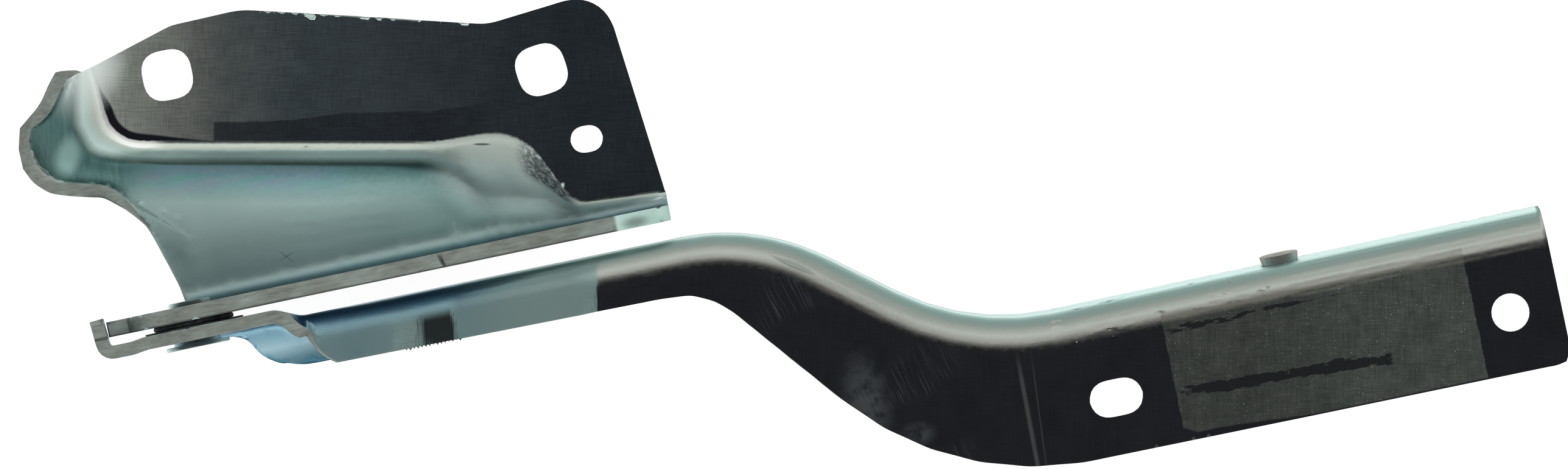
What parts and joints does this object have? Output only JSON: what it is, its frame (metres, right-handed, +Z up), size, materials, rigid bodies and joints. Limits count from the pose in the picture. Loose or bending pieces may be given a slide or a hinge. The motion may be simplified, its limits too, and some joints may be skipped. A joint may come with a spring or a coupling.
{
  "type": "bonnet hinge",
  "caption": "Stamped steel bonnet hinge: a dished body bracket with an upright pivot plate, and a long bent arm that carries the bonnet and swings on a riveted pin to a stop.",
  "frame": {"origin": "underside of the body bracket's bolting flange, midway between its two bolt holes", "axes": "+X along the hinge from the pivot towards the bonnet end of the arm, +Y away from the arm across the bolting flange, along the pivot axis, +Z up"},
  "size_m": [0.3374, 0.1407, 0.0387],
  "materials": {
    "zinc_plate": "bright zinc plate with drawing marks",
    "black_nylon": "matte",
    "bush_lining": "satin"
  },
  "bodies": {
    "body_side": {"body_bracket": "zinc_plate", "pivot_rivet": "zinc_plate", "spacer_washer": "black_nylon"},
    "bonnet_side": {"hood_arm": "zinc_plate", "pivot_bush": "bush_lining", "thin_washer": "black_nylon", "arm_stud": "zinc_plate"}
  },
  "joints": [
    {"name": "pivot", "type": "hinge", "parent": "body_side", "child": "bonnet_side", "pos_m": [-0.0475, -0.04785, 0.0075], "axis": [0, -1, 0], "range_deg": [0, 52]}
  ]
}
